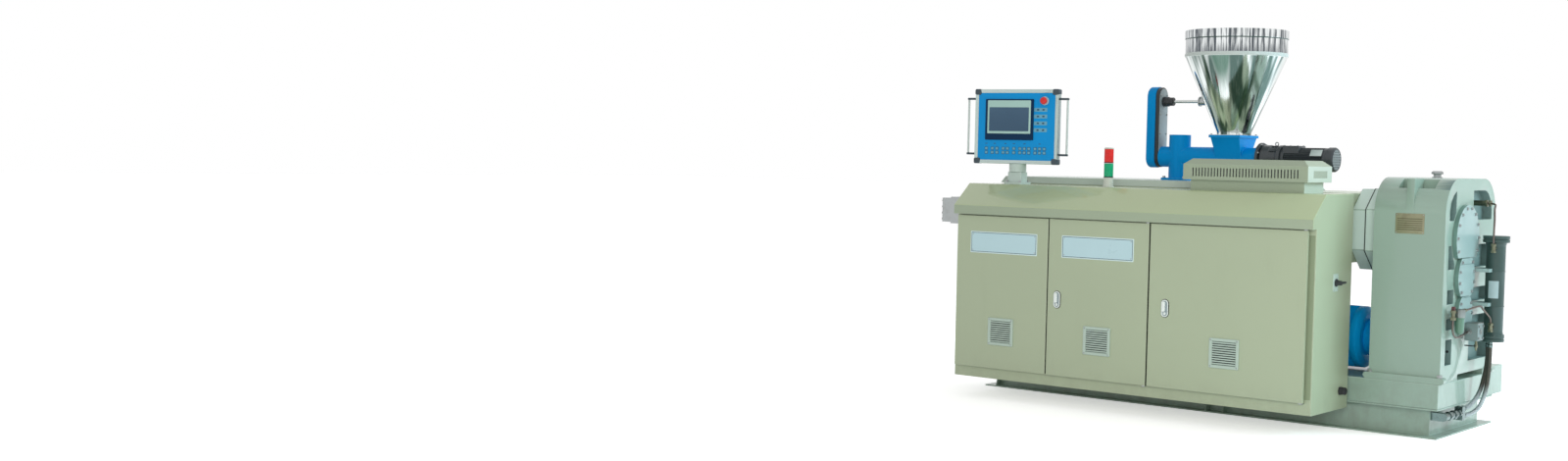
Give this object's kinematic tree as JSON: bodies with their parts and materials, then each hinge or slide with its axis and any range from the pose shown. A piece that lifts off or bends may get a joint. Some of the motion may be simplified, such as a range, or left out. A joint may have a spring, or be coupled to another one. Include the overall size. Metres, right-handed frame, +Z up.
{
  "type": "plastic extruder",
  "caption": "Twin-screw plastic extruder with gearbox, barrel cover, hopper, cabinet with doors, swivelling control panel and oil filter.",
  "frame": {"origin": "on the floor under the middle of the machine's bounding box", "axes": "+X along the machine from the die to the gearbox, +Y from the operator's side to the back, +Z up"},
  "size_m": [3.344, 1.478, 2.072],
  "materials": {
    "green_paint": "satin enamel, a little grimy",
    "khaki_paint": "satin enamel",
    "motor_blue": "satin enamel",
    "feeder_blue": "gloss enamel",
    "dark_paint": "satin enamel",
    "bare_steel": "machined",
    "polished_steel": "polished stainless sheet",
    "panel_aluminium": "anodised",
    "white_plastic": "moulded",
    "black_plastic": "moulded",
    "panel_blue": "printed foil",
    "panel_navy": "moulded bezel and button",
    "lamp_plastic": "tinted lens",
    "brass": "machined",
    "copper": "drawn tube",
    "hose_braid": "steel braid over rubber"
  },
  "bodies": {
    "machine": {"base_long_rails": "green_paint", "base_end_rails": "green_paint", "base_stiffeners": "green_paint", "plinth": "green_paint", "oil_tank": "green_paint", "gearbox_housing": "green_paint", "gearbox_covers": "green_paint", "gearbox_breather": "polished_steel", "lantern_gear_half": "green_paint", "lantern_barrel_half": "green_paint", "main_motor": "motor_blue", "motor_coupling": "bare_steel", "barrel_leg": "green_paint", "barrel_cover": "khaki_paint", "barrel_lid": "khaki_paint", "barrel_end": "bare_steel", "die_plates": "bare_steel", "cabinet_floor": "khaki_paint", "cabinet_back": "khaki_paint", "cabinet_ends": "khaki_paint", "cabinet_rails": "khaki_paint", "cabinet_posts": "khaki_paint", "cabinet_hood": "khaki_paint", "cabinet_brackets": "bare_steel", "left_panel": "khaki_paint", "left_vent": "white_plastic", "hinge_pins": "bare_steel", "switch_plate": "white_plastic", "cable_gland": "black_plastic", "vent_cover": "khaki_paint", "stack_light": "lamp_plastic", "panel_post": "panel_aluminium", "hopper": "polished_steel", "feeder_housing": "feeder_blue", "feeder_guard": "feeder_blue", "stirrer_bearing": "dark_paint", "feeder_reducer": "dark_paint", "feeder_motor": "dark_paint", "oil_filter": "dark_paint", "filter_brackets": "bare_steel", "oil_pump": "dark_paint", "oil_pipes": "copper", "pipe_fittings": "brass", "hose_fittings": "bare_steel", "near_hose": "hose_braid", "far_hose": "hose_braid"},
    "middle_door": {"door_middle": "khaki_paint", "middle_vent": "white_plastic", "middle_latch": "polished_steel"},
    "right_door": {"door_right": "khaki_paint", "right_vent": "white_plastic", "right_latch": "polished_steel"},
    "control_panel": {"panel_box": "panel_aluminium", "panel_face": "panel_blue", "panel_controls": "panel_navy", "panel_grips": "bare_steel"},
    "main_switch": {"switch_lever": "black_plastic"},
    "stirrer": {"stirrer_shaft": "bare_steel"}
  },
  "joints": [
    {"name": "middle_door_hinge", "type": "hinge", "parent": "machine", "child": "middle_door", "pos_m": [0.167, -0.713, 0.6], "axis": [0, 0, 1], "range_deg": [0, 90]},
    {"name": "right_door_hinge", "type": "hinge", "parent": "machine", "child": "right_door", "pos_m": [1.023, -0.713, 0.6], "axis": [0, 0, 1], "range_deg": [0, 110]},
    {"name": "panel_swivel", "type": "hinge", "parent": "machine", "child": "control_panel", "pos_m": [-0.769, -0.507, 1.3], "axis": [0, 0, 1], "range_deg": [-80, 80]},
    {"name": "switch_turn", "type": "hinge", "parent": "machine", "child": "main_switch", "pos_m": [1.08, -0.445, 0.759], "axis": [1, 0, 0], "range_deg": [0, 90]},
    {"name": "stirrer_spin", "type": "hinge", "parent": "machine", "child": "stirrer", "pos_m": [0, 0.159, 1.685], "axis": [1, 0, 0], "continuous": true}
  ]
}
